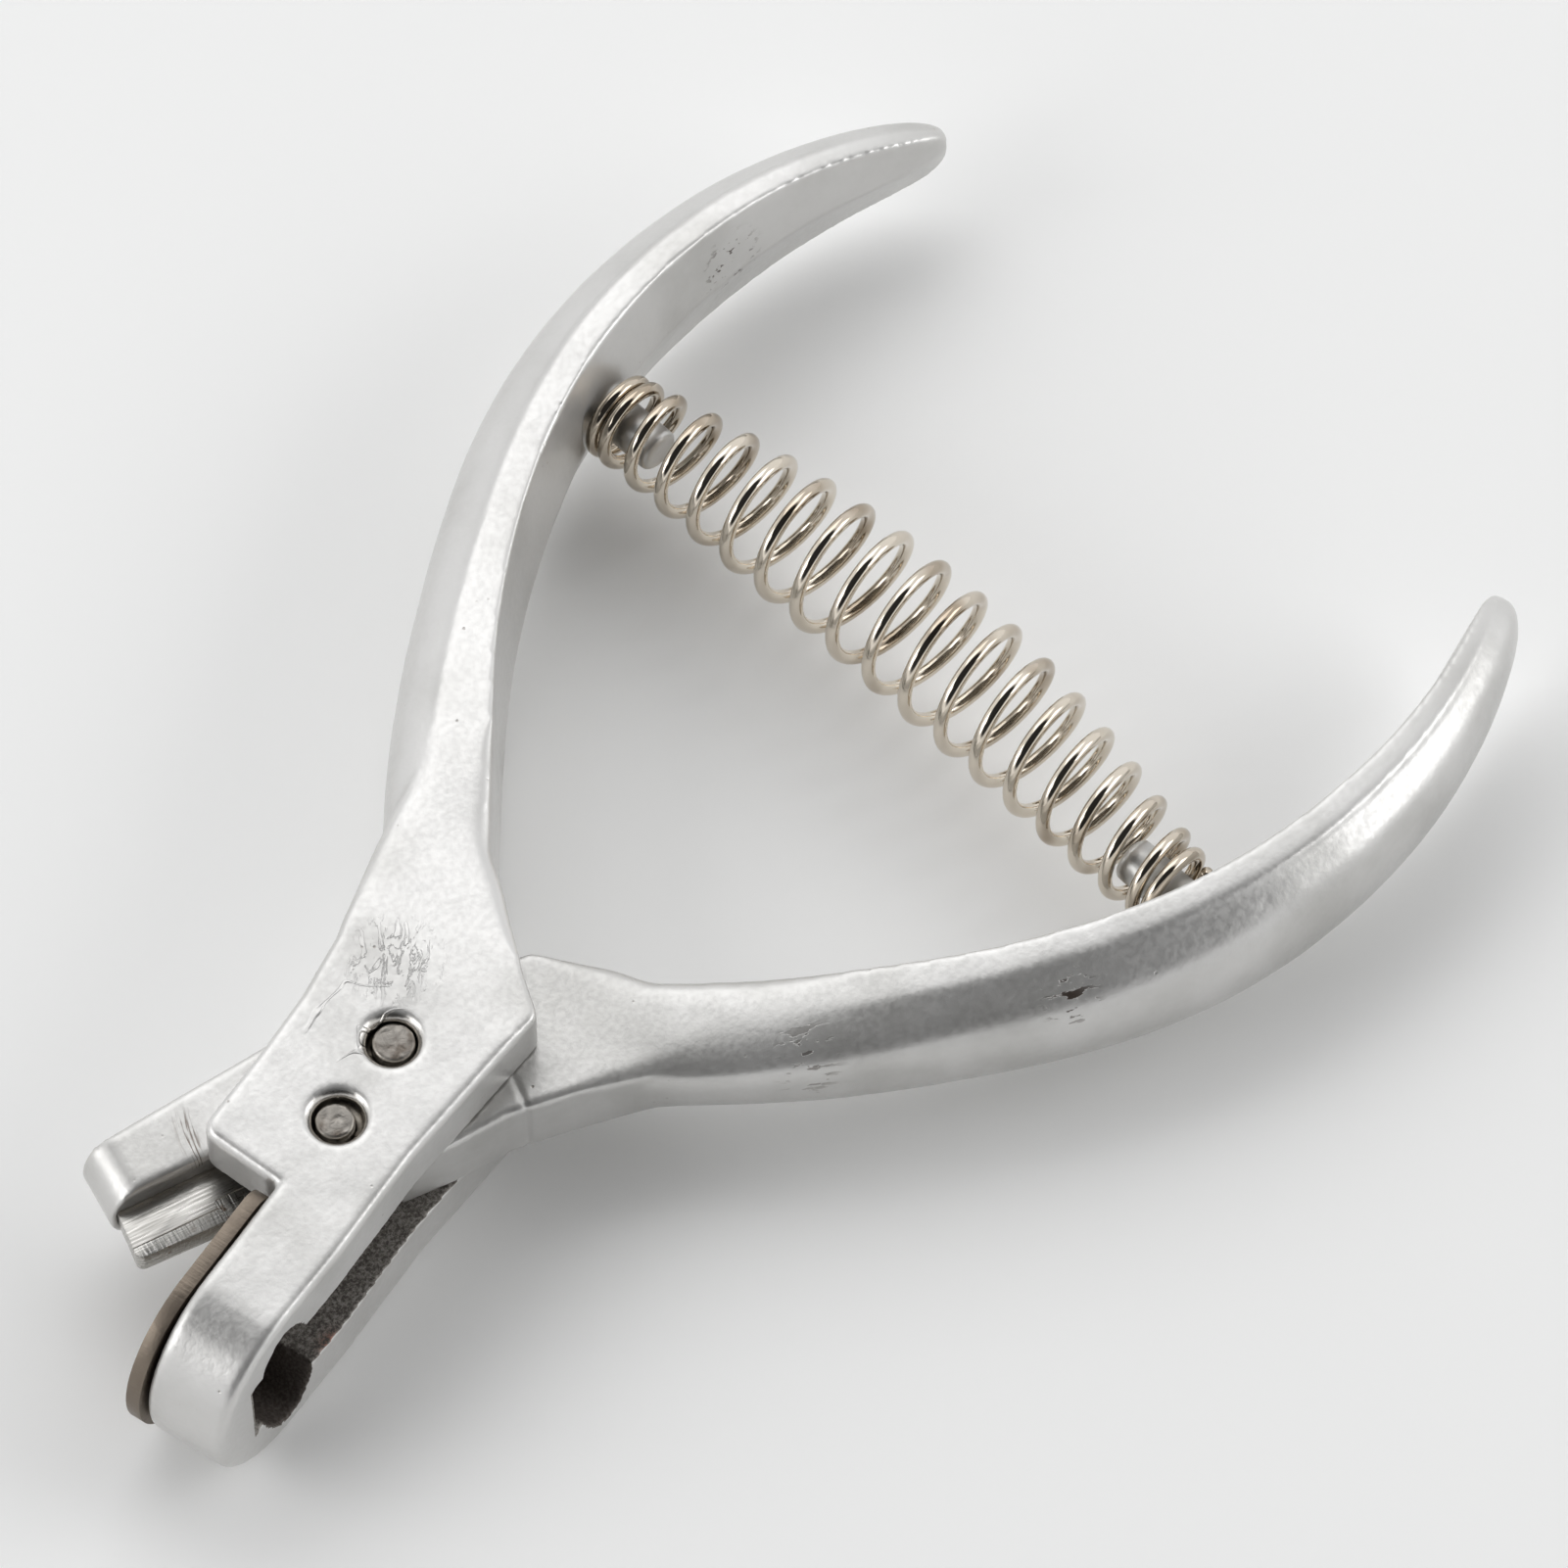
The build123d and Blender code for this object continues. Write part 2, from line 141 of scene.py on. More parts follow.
class CastingSettings(PropertyGroup):
    voxel: length("Grid", "Spacing of the grid that the castings are rebuilt on", 0.30 * MM)
    soften: IntProperty(
        name="Soften", description="Smoothing passes over the whole casting", default=5, min=0
    )
    root_passes: IntProperty(
        name="Root", description="Smoothing passes between head and grip", default=160, min=0
    )
    unevenness: length("Unevenness", "How far the skin of the castings wanders", 0.045 * MM)
    grit: length("Grit", "How rough the unpainted casting is", 0.05 * MM)
    crease: length("Crease", "Depth of the seam across the punch lever's neck", 0.16 * MM)
    paint: colour("Paint", "Silver lacquer", "#D0CFCD")
    paint_shade: colour("Paint, dusty", "Silver lacquer where dust has settled in it", "#BCBBB8")
    # Painted shade: the lacquer is drawn darker in the castings' inner corners.
    paint_in_corner_shade: colour("Paint in hollows", "Silver lacquer in the castings' inner corners", "#A3A19C")
    # Painted shade: the lacquer is drawn darker inside the casting's pits.
    paint_pit_shade: colour("Paint in pits", "Silver lacquer in the pits of the casting", "#A09B95")
    # Lighter edges: partly lacquer worn thin, partly painted highlight.
    paint_rim_wear_and_highlight: colour("Paint on edges", "Silver lacquer on the castings' edges", "#E4E3E0")
    scratch: colour("Scratches", "Iron where the levers rub the lacquer off", "#6D625A")
    flake: colour("Flakes", "Dark iron where the lacquer has lifted off", "#5A5049")
    drilled: colour("Drilled steel", "Bright cut metal round the pins", "#C4C1BC")
    bare: colour("Bare casting", "Unpainted iron inside the jaw", "#A5A19B")
    bare_dark: colour("Bare casting, dark", "Unpainted iron in its own pores", "#5C5752")
    # Painted shade: the iron is drawn darker over the waste outlet's walls.
    iron_outlet_shading: colour("Bare casting, deep", "Unpainted iron in the waste outlet", "#3A302A")
    rust: colour("Rust", "Fresh rust on bare iron", "#A4502B")


class SteelSettings(PropertyGroup):
    soft_edge: length("Edge", "Rounding of the steel parts' edges", 0.16 * MM)
    blade: colour("Blade", "Ground tool steel", "#D2D0CC")
    blade_line: colour("Blade lines", "Ground tool steel in its grinding lines", "#B3B1AC")
    blade_stain: colour("Blade stain", "Brown stain along the cutting edge", "#8A7565")
    plate: colour("Die plate", "Bare hardened steel", "#4C443D")
    plate_dark: colour("Die plate, dark", "Bare hardened steel where it is darkest", "#352E28")
    plate_mark: colour("Die plate marks", "Marks that the blanking die left", "#655B51")
    plate_rim: colour("Die plate edges", "Bare hardened steel on its rubbed edges", "#7C7267")
    pin: colour("Pin", "Cut end of a steel pin", "#8E8A84")
    pin_dark: colour("Pin, dark", "Oil stain on a pin's end", "#6A635C")
    pin_rim: colour("Pin edges", "Rolled edge of a pin's end", "#C9C3BA")


class SpringSettings(PropertyGroup):
    wire: length("Wire", "Radius of the spring wire", 0.73 * MM)
    end_radius: length("End radius", "Coil radius at the ends, to the middle of the wire", 4.1 * MM)
    mid_radius: length("Middle radius", "Coil radius at the middle, to the middle of the wire", 6.8 * MM)
    open_turns: FloatProperty(name="Open turns", description="Turns between the close ends", default=16.0)
    close_turns: FloatProperty(
        name="Close turns", description="Turns that nearly touch, at each end", default=1.5
    )
    close_pitch: length("Close pitch", "Pitch of the close turns", 1.6 * MM)
    bow: length("Bow", "How far the spring's middle leans towards the ends of the grips", 3.3 * MM)
    plating: colour("Plating", "Bright nickel", "#D6CDBF")
    # Also drawn towards both ends of the spring, which are made darker and yellower.
    tarnish: colour("Tarnish", "Yellowed nickel", "#A89A88")


class StageSettings(PropertyGroup):
    floor: colour("Floor", "Pale matt floor", "#FAFAF9")
    distance: length("Camera distance", "From the camera to the middle of the tool", 1.0)
    elevation: FloatProperty(
        name="Elevation", description="Camera's height over the horizon", default=math.radians(60.4),
        subtype="ANGLE",
    )
    heading: FloatProperty(
        name="Heading", description="Direction that the camera looks in, from +X",
        default=math.radians(45.05), subtype="ANGLE",
    )
    view_angle: FloatProperty(
        name="View angle", description="Camera's angle of view", default=math.radians(9.155),
        subtype="ANGLE",
    )


# ---------------------------------------------------------------- material tools

def add(tree, kind, ins=None, **settings):
    """Add a node: settings are its own, ins its sockets' values or (node, output) links."""
    made = tree.nodes.new(kind)
    for name, value in settings.items():
        setattr(made, name, value)
    for name, value in (ins or {}).items():
        socket = made.inputs[name]
        if isinstance(value, tuple) and isinstance(value[0], bpy.types.Node):
            tree.links.new(value[0].outputs[value[1]], socket)
        else:
            socket.default_value = value
    return made


def new_material(name):
    """Empty node material and its tree."""
    material = bpy.data.materials.new(name)
    material.use_nodes = True
    material.node_tree.nodes.clear()
    return material, material.node_tree


def rgba(values):
    return (*values, 1.0)


def per(size):
    """Texture scale for a pattern of this size in metres."""
    return 1 / size


def from_pivot(tree, deg=0.0):
    """Coordinates measured from the pivot, turned so that x runs in a direction; metres."""
    place = add(tree, "ShaderNodeTexCoord")
    turned = Matrix.Rotation(-math.radians(deg), 3, "Z") @ -PIVOT
    return add(
        tree, "ShaderNodeMapping", {"Vector": (place, "Object"), "Location": turned,
                                    "Rotation": (0, 0, -math.radians(deg))},
    )


def ramp(tree, source, low, high, to_min=0.0, to_max=1.0):
    """Smooth step of a value between two limits."""
    return add(
        tree, "ShaderNodeMapRange", {0: source, 1: low, 2: high, 3: to_min, 4: to_max},
        interpolation_type="SMOOTHSTEP",
    )


def mix(tree, factor, first, second):
    """Mix two colours, each a colour or a (node, output) link."""
    return add(tree, "ShaderNodeMix", {0: factor, 6: first, 7: second}, data_type="RGBA")


def times(tree, first, second):
    return add(tree, "ShaderNodeMath", {0: first, 1: second}, operation="MULTIPLY")


def near(tree, place, point, inner, outer):
    """1 within inner of a point, falling to 0 at outer; the point in millimetres, the rest in metres."""
    middle = tuple(number * MM for number in point)
    apart = add(tree, "ShaderNodeVectorMath", {0: (place, 0), 1: middle}, operation="DISTANCE")
    return ramp(tree, (apart, "Value"), inner, outer, 1.0, 0.0)


def bump(tree, height, depth, normal=None):
    """Bump of a real depth in metres for a height of 1."""
    ins = {"Height": height, "Distance": depth, "Strength": 1.0}
    if normal:
        ins["Normal"] = (normal, 0)
    return add(tree, "ShaderNodeBump", ins)


def noise_at(tree, place, size, detail=2.0, rough=0.5, twist=0.0):
    ins = {
        "Vector": (place, 0), "Scale": per(size), "Detail": detail, "Roughness": rough, "Distortion": twist,
    }
    return add(tree, "ShaderNodeTexNoise", ins)


# ---------------------------------------------------------------- materials

def silver_lacquer(s):
    """Silver lacquer sprayed on a rough casting: a satin metallic skin with fine orange peel, small
    pits and cold-flow marks that show through it, and bare dark iron inside the jaw. Painted shade
    darkens the lacquer in inner corners and pits and the iron in the waste outlet; the lighter edges
    are partly worn lacquer, partly painted highlight."""
    material, tree = new_material("silver_lacquer_on_casting")
    place = from_pivot(tree)

    peel = noise_at(tree, place, 0.60 * MM, detail=3.0)
    sag = noise_at(tree, place, 6.5 * MM, detail=2.0, twist=0.6)
    cells = add(
        tree, "ShaderNodeTexVoronoi", {"Vector": (place, 0), "Scale": per(1.5 * MM), "Randomness": 1.0}
    )
    pit_spread = noise_at(tree, place, 8.0 * MM, detail=3.0)
    pit_zone = ramp(tree, (pit_spread, 0), 0.57, 0.68)
    pit_shape = ramp(tree, (cells, "Distance"), 0.04, 0.14, 1.0, 0.0)
    pits = times(tree, (pit_zone, 0), (pit_shape, 0))

    # Cold-flow marks above the pivot: short raised streaks.
    flow_spot = near(tree, place, FLOW_MARKS, 1.2 * MM, 6.0 * MM)
    drawn_out = stretched(tree, from_pivot(tree, 38), 0.42, 1, 1)
    flow = noise_at(tree, drawn_out, 1.1 * MM, detail=4.0, rough=0.6, twist=1.0)
    flow_marks = ramp(tree, (flow, 0), 0.52, 0.60)
    flowed = times(tree, (flow_spot, 0), (flow_marks, 0))

    # Thin curled lines in the skin beside the pivot.
    curl_spot = near(tree, place, CURLED_LINES, 2.6 * MM, 5.4 * MM)
    curl = noise_at(tree, place, 8.0 * MM, detail=0.6, twist=0.5)
    offset = add(tree, "ShaderNodeMath", {0: (curl, 0), 1: 0.5}, operation="SUBTRACT")
    apart = add(tree, "ShaderNodeMath", {0: (offset, 0)}, operation="ABSOLUTE")
    curl_line = ramp(tree, (apart, 0), 0.004, 0.014, 1.0, 0.0)
    curled = times(tree, (curl_spot, 0), (curl_line, 0))

    # Rubbed arcs on the punch jaw, where the cheek's corner passes.
    split = add(tree, "ShaderNodeSeparateXYZ", {0: (place, 0)})
    turn = add(tree, "ShaderNodeMath", {0: (split, 1), 1: (split, 0)}, operation="ARCTAN2")
    flat_place = add(tree, "ShaderNodeCombineXYZ", {0: (split, 0), 1: (split, 1)})
    radius = add(tree, "ShaderNodeVectorMath", {0: (flat_place, 0)}, operation="LENGTH")
    slow_turn = times(tree, (turn, 0), 1.6 * MM)
    arc_place = add(tree, "ShaderNodeCombineXYZ", {0: (radius, "Value"), 1: (slow_turn, 0)})
    scratch = noise_at(tree, arc_place, 0.32 * MM, detail=2.0)
    rubbed = add(tree, "ShaderNodeAttribute", attribute_name="rubbed")
    scratch_line = ramp(tree, (scratch, 0), 0.50, 0.62)
    scratched = times(tree, (rubbed, "Fac"), (scratch_line, 0))

    # Dark flakes, where the lacquer has lifted off the back of the punch grip and inside the die grip.
    zones = [near(tree, place, (x, y, z), 1.0 * MM, reach * MM) for x, y, z, reach in FLAKES]
    flake_zone = zones[0]
    for zone in zones[1:]:
        flake_zone = add(tree, "ShaderNodeMath", {0: (flake_zone, 0), 1: (zone, 0)}, operation="MAXIMUM")
    along_grip = stretched(tree, from_pivot(tree, -32), 0.3, 1, 1)
    flake_grain = noise_at(tree, along_grip, 0.8 * MM, detail=3.0, rough=0.6)
    flake_shape = ramp(tree, (flake_grain, 0), 0.58, 0.61)
    flakes = times(tree, (flake_zone, 0), (flake_shape, 0))

    rim = add(tree, "ShaderNodeAttribute", attribute_name="rim")
    hollow = add(tree, "ShaderNodeAttribute", attribute_name="hollow")
    bare = add(tree, "ShaderNodeAttribute", attribute_name="bare")

    cloud = noise_at(tree, place, 14.0 * MM, detail=4.0)
    dust = ramp(tree, (cloud, 0), 0.38, 0.72)
    skin = mix(tree, (dust, 0), rgba(s.paint), rgba(s.paint_shade))
    # Painted shade: darker lacquer in the inner corners.
    skin_2 = mix(tree, (hollow, "Fac"), (skin, 2), rgba(s.paint_in_corner_shade))
    # Painted shade: darker lacquer in the pits.
    skin_3 = mix(tree, (pits, 0), (skin_2, 2), rgba(s.paint_pit_shade))
    skin_4 = mix(tree, (scratched, 0), (skin_3, 2), rgba(s.scratch))
    # Lighter lacquer on the edges: partly edge wear, partly painted highlight.
    skin_5 = mix(tree, (rim, "Fac"), (skin_4, 2), rgba(s.paint_rim_wear_and_highlight))
    skin_6 = mix(tree, (flakes, 0), (skin_5, 2), rgba(s.flake))

    iron_grain = noise_at(tree, place, 0.35 * MM, detail=5.0, rough=0.7)
    iron_shade = ramp(tree, (iron_grain, 0), 0.38, 0.66)
    iron = mix(tree, (iron_shade, 0), rgba(s.bare_dark), rgba(s.bare))
    rust_attribute = add(tree, "ShaderNodeAttribute", attribute_name="rusted")
    rust_grain = ramp(tree, (iron_grain, 0), 0.46, 0.54)
    rusted = times(tree, (rust_attribute, "Fac"), (rust_grain, 0))
    # Painted shade: darker iron over the waste outlet's walls.
    deep = add(tree, "ShaderNodeAttribute", attribute_name="deep")
    iron_1 = mix(tree, (deep, "Fac"), (iron, 2), rgba(s.iron_outlet_shading))
    iron_2 = mix(tree, (rusted, 0), (iron_1, 2), rgba(s.rust))
    ragged = add(tree, "ShaderNodeMath", {0: (bare, "Fac"), 1: (iron_grain, 0)}, operation="ADD")
    bare_mask = ramp(tree, (ragged, 0), 0.92, 1.02)
    drilled = add(tree, "ShaderNodeAttribute", attribute_name="drilled")

    height = bump(tree, (sag, 0), 0.045 * MM)
    height = bump(tree, (peel, 0), 0.020 * MM, height)
    height = bump(tree, (pits, 0), -0.05 * MM, height)
    height = bump(tree, (flowed, 0), 0.16 * MM, height)
    height = bump(tree, (curled, 0), 0.12 * MM, height)
    height = bump(tree, (scratched, 0), -0.015 * MM, height)
    height = bump(tree, (flakes, 0), -0.06 * MM, height)
    paint_gloss = ramp(tree, (peel, 0), 0.3, 0.7, 0.31, 0.41)
    paint = add(tree, "ShaderNodeBsdfPrincipled", {
        "Base Color": (skin_6, 2), "Metallic": 0.66, "Roughness": (paint_gloss, 0), "Normal": (height, 0),
        "Coat Weight": 0.25, "Coat Roughness": 0.28,
    })
    iron_height = bump(tree, (iron_grain, 0), 0.07 * MM)
    raw = add(tree, "ShaderNodeBsdfPrincipled", {
        "Base Color": (iron_2, 2), "Metallic": 0.55, "Roughness": 0.62, "Normal": (iron_height, 0),
    })
    both = add(tree, "ShaderNodeMixShader", {0: (bare_mask, 0), 1: (paint, 0), 2: (raw, 0)})
    cut = add(tree, "ShaderNodeBsdfPrincipled", {
        "Base Color": rgba(s.drilled), "Metallic": 1.0, "Roughness": 0.22, "Normal": (height, 0),
    })
    with_cut = add(tree, "ShaderNodeMixShader", {0: (drilled, "Fac"), 1: (both, 0), 2: (cut, 0)})
    add(tree, "ShaderNodeOutputMaterial", {"Surface": (with_cut, 0)})
    return material


def metal(tree, base, roughness, height, metallic=1.0):
    """Finish a bare metal's tree."""
    shader = add(tree, "ShaderNodeBsdfPrincipled", {
        "Base Color": base, "Metallic": metallic, "Roughness": roughness, "Normal": (height, 0),
    })
    add(tree, "ShaderNodeOutputMaterial", {"Surface": (shader, 0)})


def stretched(tree, place, x, y, z):
    """Coordinates stretched along an axis, for a pattern that runs along it."""
    return add(tree, "ShaderNodeMapping", {"Vector": (place, 0), "Scale": (x, y, z)})


def ground_tool_steel(s):
    """Hardened tool steel, surface-ground along the blade: fine bright lines, with upright shear marks
    and a brown stain where it has gone through the die."""
    material, tree = new_material("ground_tool_steel")
    place = from_pivot(tree, PUNCH_JAW_DEG)
    # Real grinding lines are about 0.02 mm apart; these are drawn 0.22 mm apart so that they show.
    lines = noise_at(tree, stretched(tree, place, 0.05, 1, 1), 0.22 * MM, detail=3.0)
    shear = noise_at(tree, stretched(tree, place, 1, 0.06, 0.3), 0.34 * MM, detail=2.0)
    blotch = noise_at(tree, place, 1.1 * MM, detail=4.0)
    split = add(tree, "ShaderNodeSeparateXYZ", {0: (place, 0)})
    heel = ramp(tree, (split, 0), 21.6 * MM, 22.0 * MM, 0.9 * MM, 0.0)
    depth = add(tree, "ShaderNodeMath", {0: (split, 1), 1: (heel, 0)}, operation="ADD")
    worn = ramp(tree, (depth, 0), 3.85 * MM, 3.98 * MM)
    streak = ramp(tree, (shear, 0), 0.42, 0.62)
    patch = ramp(tree, (blotch, 0), 0.60, 0.74)
    stain = times(tree, (worn, 0), (patch, 0))
    sheared = times(tree, (worn, 0), (streak, 0))
    tone = ramp(tree, (lines, 0), 0.3, 0.7)
    bright = mix(tree, (tone, 0), rgba(s.blade), rgba(s.blade_line))
    browned = mix(tree, (stain, 0), (bright, 2), rgba(s.blade_stain))
    height = bump(tree, (lines, 0), 0.016 * MM)
    height = bump(tree, (sheared, 0), -0.03 * MM, height)
    height = bump(tree, (worn, 0), -0.05 * MM, height)
    gloss = ramp(tree, (lines, 0), 0.3, 0.7, 0.26, 0.40)
    metal(tree, (browned, 2), (gloss, 0), height)
    return material


def bare_plate_steel(s):
    """Blanked and hardened steel plate, left bare: brown-grey and mottled, with upright marks from the
    blanking die across its edges."""
    material, tree = new_material("bare_hardened_plate")
    place = from_pivot(tree, DIE_JAW_DEG)
    mottle = noise_at(tree, place, 2.6 * MM, detail=5.0, rough=0.6)
    blank = noise_at(tree, stretched(tree, place, 1, 0.10, 1), 0.45 * MM, detail=3.0)
    grit = noise_at(tree, place, 0.30 * MM, detail=3.0)
    shade = ramp(tree, (mottle, 0), 0.36, 0.66)
    mark = ramp(tree, (blank, 0), 0.50, 0.62)
    base = mix(tree, (shade, 0), rgba(s.plate), rgba(s.plate_dark))
    marked = mix(tree, (mark, 0), (base, 2), rgba(s.plate_mark))
    rim = add(tree, "ShaderNodeAttribute", attribute_name="rim")
    edged = mix(tree, (rim, "Fac"), (marked, 2), rgba(s.plate_rim))
    height = bump(tree, (blank, 0), 0.05 * MM)
    height = bump(tree, (grit, 0), 0.02 * MM, height)
    gloss = ramp(tree, (mottle, 0), 0.3, 0.7, 0.36, 0.50)
    metal(tree, (edged, 2), (gloss, 0), height, metallic=0.9)
    return material


def cut_pin_steel(s):
    """Mild steel rod, sawn and hammered home: dull grey ends with torn grain and oily brown stains."""
    material, tree = new_material("sawn_steel_pin")
    place = from_pivot(tree)
    torn = noise_at(tree, place, 0.9 * MM, detail=5.0, rough=0.6, twist=0.5)
    stain = noise_at(tree, place, 1.9 * MM, detail=2.0)
    shade = ramp(tree, (stain, 0), 0.42, 0.64)
    base = mix(tree, (shade, 0), rgba(s.pin), rgba(s.pin_dark))
    rim = add(tree, "ShaderNodeAttribute", attribute_name="rim")
    edged = mix(tree, (rim, "Fac"), (base, 2), rgba(s.pin_rim))
    height = bump(tree, (torn, 0), 0.10 * MM)
    gloss = ramp(tree, (torn, 0), 0.3, 0.7, 0.30, 0.52)
    metal(tree, (edged, 2), (gloss, 0), height)
    return material


def bright_nickel(s):
    """Spring wire, cold-drawn and nickel plated: a warm mirror with sharp dark reflections, slightly
    yellow where the plating is thin."""
    material, tree = new_material("nickel_plated_wire")
    place = from_pivot(tree)
    drawn = noise_at(tree, place, 1.6 * MM, detail=3.0)
    thin = noise_at(tree, place, 9.0 * MM, detail=3.0)
    shade = ramp(tree, (thin, 0), 0.48, 0.72)
    # Darker and yellower towards both ends of the spring, besides the random patches.
    seat_end = add(tree, "ShaderNodeAttribute", attribute_name="tarnished")
    dull = add(tree, "ShaderNodeMath", {0: (shade, 0), 1: (seat_end, "Fac")}, operation="MAXIMUM")
    base = mix(tree, (dull, 0), rgba(s.plating), rgba(s.tarnish))
    height = bump(tree, (drawn, 0), 0.010 * MM)
    gloss = ramp(tree, (drawn, 0), 0.3, 0.7, 0.06, 0.12)
    metal(tree, (base, 2), (gloss, 0), height)
    return material


# ---------------------------------------------------------------- mesh tools

def new_piece(name, mesh, material):
    piece = bpy.data.objects.new(name, mesh)
    bpy.context.scene.collection.objects.link(piece)
    mesh.materials.clear()
    mesh.materials.append(material)
    return piece


def welded_copy(node):
    """The CAD node's own mesh, with its seams closed and its flat faces whole."""
    mesh = frame["nodes"][node].data.copy()
    if "custom_normal" in mesh.attributes:
        mesh.attributes.remove(mesh.attributes["custom_normal"])
    shape = bmesh.new()
    shape.from_mesh(mesh)
    bmesh.ops.remove_doubles(shape, verts=shape.verts, dist=0.001 * MM)
    shape.to_mesh(mesh)
    shape.free()
    return mesh


def freeze(piece):
    """Turn a piece's modifiers into its mesh."""
    graph = bpy.context.evaluated_depsgraph_get()
    mesh = bpy.data.meshes.new_from_object(piece.evaluated_get(graph))
    old = piece.data
    piece.modifiers.clear()
    piece.data = mesh
    bpy.data.meshes.remove(old)


def points_of(mesh):
    flat = np.empty(len(mesh.vertices) * 3)
    mesh.vertices.foreach_get("co", flat)
    return flat.reshape(-1, 3)


def normals_of(mesh):
    flat = np.empty(len(mesh.vertices) * 3)
    mesh.vertex_normals.foreach_get("vector", flat)
    return flat.reshape(-1, 3)


def set_points(mesh, points):
    mesh.vertices.foreach_set("co", points.ravel())
    mesh.update()


def set_mask(mesh, name, values):
    made = mesh.attributes.new(name, "FLOAT", "POINT")
    made.data.foreach_set("value", np.clip(values, 0, 1).astype(np.float32))


def from_axis(points):
    """Points' coordinates from the pivot, in millimetres."""
    return ((points - np.array(PIVOT)) / MM).T


def rise(values, low, high):
    """0 below low, 1 above high and straight between them."""
    return np.clip((values - low) / (high - low), 0, 1)


def beside(x, y, spot, inner, outer):
    """1 within inner of a spot's axis, falling to 0 at outer."""
    return 1 - rise(np.hypot(x - spot[0], y - spot[1]), inner, outer)


def glow(x, y, z, spot):
    """1 at a spot of rust, fading round it."""
    return np.exp(-((x - spot[0]) ** 2 + (y - spot[1]) ** 2 + (z - spot[2]) ** 2) / RUST_SPREAD)


def wander(points, size, seed):
    """Noise between -1 and 1 for each point, with features of this size in metres."""
    shift = Vector((seed * 7.3, seed * 3.1, seed * 5.7))
    return np.array([noise.noise(Vector(p) / size + shift) for p in points])


def cast_copy(node, name, s, material):
    """A CAD casting rebuilt on a fine grid, with its edges rounded and its skin uneven.
    Its rims and hollows are kept as masks."""
    piece = new_piece(name, welded_copy(node), material)
    remesh = piece.modifiers.new("grid", "REMESH")
    remesh.mode = "VOXEL"
    remesh.voxel_size = s.voxel
    freeze(piece)
    sharp = points_of(piece.data)
    soften = piece.modifiers.new("soften", "SMOOTH")
    soften.factor = 0.5
    soften.iterations = s.soften
    freeze(piece)
    mesh = piece.data
    mesh.materials.clear()
    mesh.materials.append(material)
    points = points_of(mesh)
    normals = normals_of(mesh)
    moved = ((points - sharp) * normals).sum(1)
    set_mask(mesh, "rim", -moved / RIM_SHIFT)
    # The hollow mask darkens the lacquer in inner corners: painted shade.
    set_mask(mesh, "hollow", moved / HOLLOW_SHIFT)
    mesh.shade_smooth()
    return piece


def melt_root(piece, weights, s):
    """Round a lever off where its head runs into its grip; weights say where."""
    group = piece.vertex_groups.new(name="root")
    for i in np.flatnonzero(weights > 0.02):
        group.add([int(i)], float(weights[i]), "REPLACE")
    melt = piece.modifiers.new("root", "SMOOTH")
    melt.factor = 0.5
    melt.iterations = s.root_passes
    melt.vertex_group = "root"
    freeze(piece)
    return points_of(piece.data), normals_of(piece.data)


def steel_copy(node, name, edge, material):
    """A CAD steel part with all its sharp edges slightly rounded, and its rims kept as a mask."""
    mesh = welded_copy(node)
    shape = bmesh.new()
    shape.from_mesh(mesh)
    bmesh.ops.dissolve_limit(shape, angle_limit=math.radians(1), verts=shape.verts, edges=shape.edges)
    corners = [e for e in shape.edges if e.is_manifold and e.calc_face_angle(0) > math.radians(28)]
    made = bmesh.ops.bevel(
        shape, geom=corners, offset=edge, offset_type="OFFSET", segments=2, profile=0.6, affect="EDGES",
        clamp_overlap=True,
    )
    shape.verts.index_update()
    worn = {v.index for v in made["verts"]}
    bmesh.ops.triangulate(shape, faces=[f for f in shape.faces if len(f.verts) > 4])
    shape.to_mesh(mesh)
    shape.free()
    piece = new_piece(name, mesh, material)
    rim = np.zeros(len(mesh.vertices))
    rim[sorted(worn)] = 1
    set_mask(mesh, "rim", rim)
    mesh.shade_smooth()
    mesh.set_sharp_from_angle(angle=math.radians(35))
    return piece


# ---------------------------------------------------------------- operators

